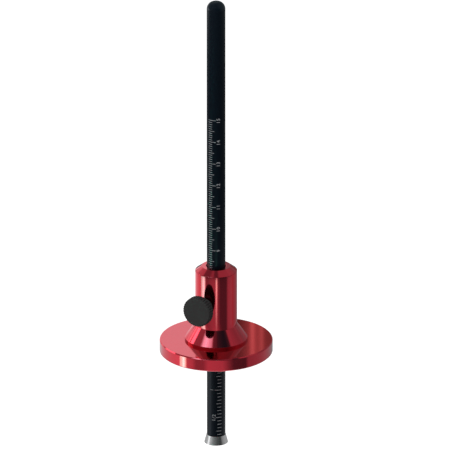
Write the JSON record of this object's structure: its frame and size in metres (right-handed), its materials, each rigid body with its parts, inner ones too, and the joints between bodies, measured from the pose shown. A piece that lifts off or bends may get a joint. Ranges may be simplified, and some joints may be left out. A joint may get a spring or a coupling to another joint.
{
  "type": "wheel marking gauge",
  "caption": "Wheel marking gauge: a round fence with a flared hub slides on a graduated rod that ends in a bevelled cutter wheel, and a thumb knob clamps it.",
  "frame": {"origin": "centre of the fence's working face, on the rod's axis", "axes": "+Z along the rod, from the cutter towards the rounded end; -Y towards the clamp knob"},
  "size_m": [0.0486, 0.0486, 0.2032],
  "materials": {
    "red_anodised": "turned, polished and anodised red",
    "black_anodised": "satin black anodised",
    "cutter_steel": "hardened and ground bright",
    "screw_steel": "plain zinc-plated steel",
    "knob_plastic": "matte moulded plastic",
    "pad_brass": "turned",
    "ring_rubber": "matte",
    "scale_marks": "pale grey marking on the rod"
  },
  "bodies": {
    "head": {"hub": "red_anodised", "fence_disc": "red_anodised"},
    "rings": {"upper_o_ring": "ring_rubber", "lower_o_ring": "ring_rubber"},
    "rod": {"rod": "black_anodised", "cutter_screw": "screw_steel"},
    "cutter": {"cutter_wheel": "cutter_steel"},
    "pad": {"clamp_pad": "pad_brass"},
    "knob": {"clamp_knob": "knob_plastic", "clamp_stud": "screw_steel"}
  },
  "joints": [
    {"name": "rod_turn", "type": "hinge", "parent": "head", "child": "rings", "pos_m": [0, 0, 0], "axis": [0, 0, 1], "continuous": true},
    {"name": "rod_slide", "type": "slide", "parent": "rings", "child": "rod", "axis": [0, 0, 1], "range_m": [-0.1077, 0.0425]},
    {"name": "cutter_turn", "type": "hinge", "parent": "rod", "child": "cutter", "pos_m": [0, 0, -0.0423], "axis": [0, 0, 1], "continuous": true},
    {"name": "clamp_travel", "type": "slide", "parent": "head", "child": "pad", "axis": [0, -1, 0], "range_m": [0, 0.0024]},
    {"name": "clamp_turn", "type": "hinge", "parent": "pad", "child": "knob", "pos_m": [0, 0, 0.024], "axis": [0, -1, 0], "range_deg": [0, 1080]}
  ],
  "couplings": [
    {"joint": "clamp_turn", "follows": "clamp_travel", "rad_per_m": 7854}
  ]
}
